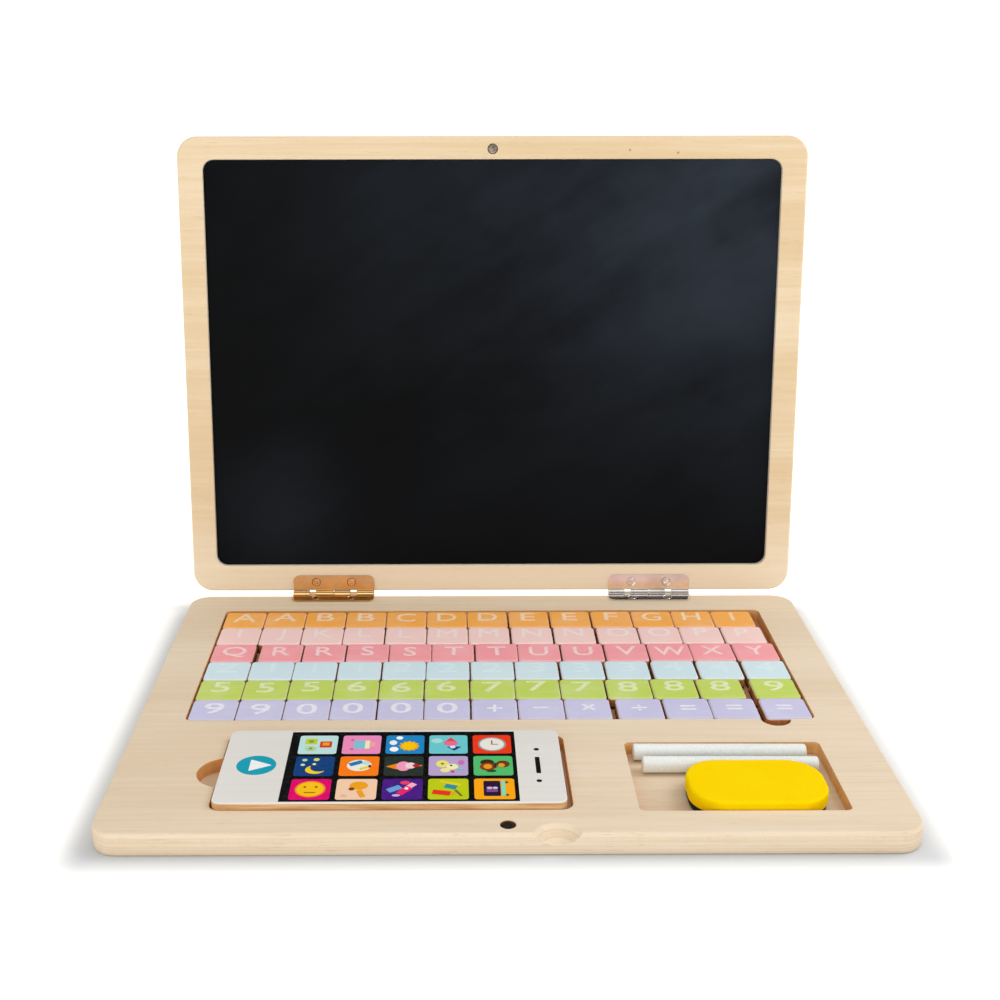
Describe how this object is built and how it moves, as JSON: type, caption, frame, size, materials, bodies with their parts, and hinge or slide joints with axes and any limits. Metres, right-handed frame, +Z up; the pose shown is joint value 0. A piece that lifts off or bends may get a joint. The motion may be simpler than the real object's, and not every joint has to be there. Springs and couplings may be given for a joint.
{
  "type": "toy laptop computer",
  "caption": "Wooden toy laptop with a hinged chalkboard lid, pastel letter tiles, a wooden toy phone, chalk and an eraser in fitted recesses.",
  "frame": {"origin": "centre of the base's underside", "axes": "+X to the player's right, +Y towards the hinges at the back, +Z up"},
  "size_m": [0.33, 0.2849, 0.2554],
  "materials": {
    "plywood": "pale birch plywood, sanded, thin satin varnish",
    "nickel_plate": "bright nickel-plated pressed steel",
    "magnet": "dark coated disc magnet",
    "chalkboard_paint": "matt black chalkboard lacquer over a thin steel-faced board",
    "phone_print": null,
    "eraser_foam": "soft closed-cell foam",
    "eraser_felt": "black felt",
    "chalk": "dusty white chalk",
    "magnetic_sheet": "flexible magnetic sheet",
    "tile_paint_orange": "satin pastel paint on wood, with a printed white character",
    "tile_paint_peach": "satin pastel paint on wood, with a printed white character",
    "tile_paint_pink": "satin pastel paint on wood, with a printed white character",
    "tile_paint_blue": "satin pastel paint on wood, with a printed white character",
    "tile_paint_green": "satin pastel paint on wood, with a printed white character",
    "tile_paint_violet": "satin pastel paint on wood, with a printed white character"
  },
  "bodies": {
    "base": {"base_frame": "plywood", "base_bottom_panel": "plywood", "base_magnet": "magnet", "hinge_left_base_leaf": "nickel_plate", "hinge_left_pin": "nickel_plate", "hinge_left_base_screw_1": "nickel_plate", "hinge_left_base_screw_2": "nickel_plate", "hinge_right_base_leaf": "nickel_plate", "hinge_right_pin": "nickel_plate", "hinge_right_base_screw_1": "nickel_plate", "hinge_right_base_screw_2": "nickel_plate"},
    "lid": {"lid_frame": "plywood", "chalkboard_panel": "chalkboard_paint", "lid_back_panel": "plywood", "lid_magnet": "magnet", "hinge_left_lid_leaf": "nickel_plate", "hinge_left_lid_screw_1": "nickel_plate", "hinge_left_lid_screw_2": "nickel_plate", "hinge_right_lid_leaf": "nickel_plate", "hinge_right_lid_screw_1": "nickel_plate", "hinge_right_lid_screw_2": "nickel_plate"},
    "phone": {"phone_body": "phone_print"},
    "eraser": {"eraser_block": "eraser_foam", "eraser_felt": "eraser_felt"},
    "chalk_1": {"chalk_1": "chalk"},
    "chalk_2": {"chalk_2": "chalk"},
    "tiles_orange": {"tile_row_orange": "tile_paint_orange", "tile_backing_orange": "magnetic_sheet"},
    "tiles_peach": {"tile_row_peach": "tile_paint_peach", "tile_backing_peach": "magnetic_sheet"},
    "tiles_pink": {"tile_row_pink": "tile_paint_pink", "tile_backing_pink": "magnetic_sheet"},
    "tiles_blue": {"tile_row_blue": "tile_paint_blue", "tile_backing_blue": "magnetic_sheet"},
    "tiles_green": {"tile_row_green": "tile_paint_green", "tile_backing_green": "magnetic_sheet"},
    "tiles_violet": {"tile_row_violet": "tile_paint_violet", "tile_backing_violet": "magnetic_sheet"},
    "tile_last": {"tile_last_equals": "tile_paint_violet", "tile_last_backing": "magnetic_sheet"}
  },
  "joints": [
    {"name": "lid_hinge", "type": "hinge", "parent": "base", "child": "lid", "pos_m": [0, 0.1238, 0.0109], "axis": [-1, 0, 0], "range_deg": [-96.5, 0]},
    {"name": "phone_lift", "type": "slide", "parent": "base", "child": "phone", "axis": [0, 0, 1], "range_m": [0, 0.03]},
    {"name": "eraser_lift", "type": "slide", "parent": "base", "child": "eraser", "axis": [0, 0, 1], "range_m": [0, 0.03]},
    {"name": "chalk_1_lift", "type": "slide", "parent": "base", "child": "chalk_1", "axis": [0, 0, 1], "range_m": [0, 0.03]},
    {"name": "chalk_2_lift", "type": "slide", "parent": "base", "child": "chalk_2", "axis": [0, 0, 1], "range_m": [0, 0.03]},
    {"name": "tiles_orange_lift", "type": "slide", "parent": "base", "child": "tiles_orange", "axis": [0, 0, 1], "range_m": [0, 0.03]},
    {"name": "tiles_peach_lift", "type": "slide", "parent": "base", "child": "tiles_peach", "axis": [0, 0, 1], "range_m": [0, 0.03]},
    {"name": "tiles_pink_lift", "type": "slide", "parent": "base", "child": "tiles_pink", "axis": [0, 0, 1], "range_m": [0, 0.03]},
    {"name": "tiles_blue_lift", "type": "slide", "parent": "base", "child": "tiles_blue", "axis": [0, 0, 1], "range_m": [0, 0.03]},
    {"name": "tiles_green_lift", "type": "slide", "parent": "base", "child": "tiles_green", "axis": [0, 0, 1], "range_m": [0, 0.03]},
    {"name": "tiles_violet_lift", "type": "slide", "parent": "base", "child": "tiles_violet", "axis": [0, 0, 1], "range_m": [0, 0.03]},
    {"name": "tile_last_lift", "type": "slide", "parent": "base", "child": "tile_last", "axis": [0, 0, 1], "range_m": [0, 0.03]}
  ]
}
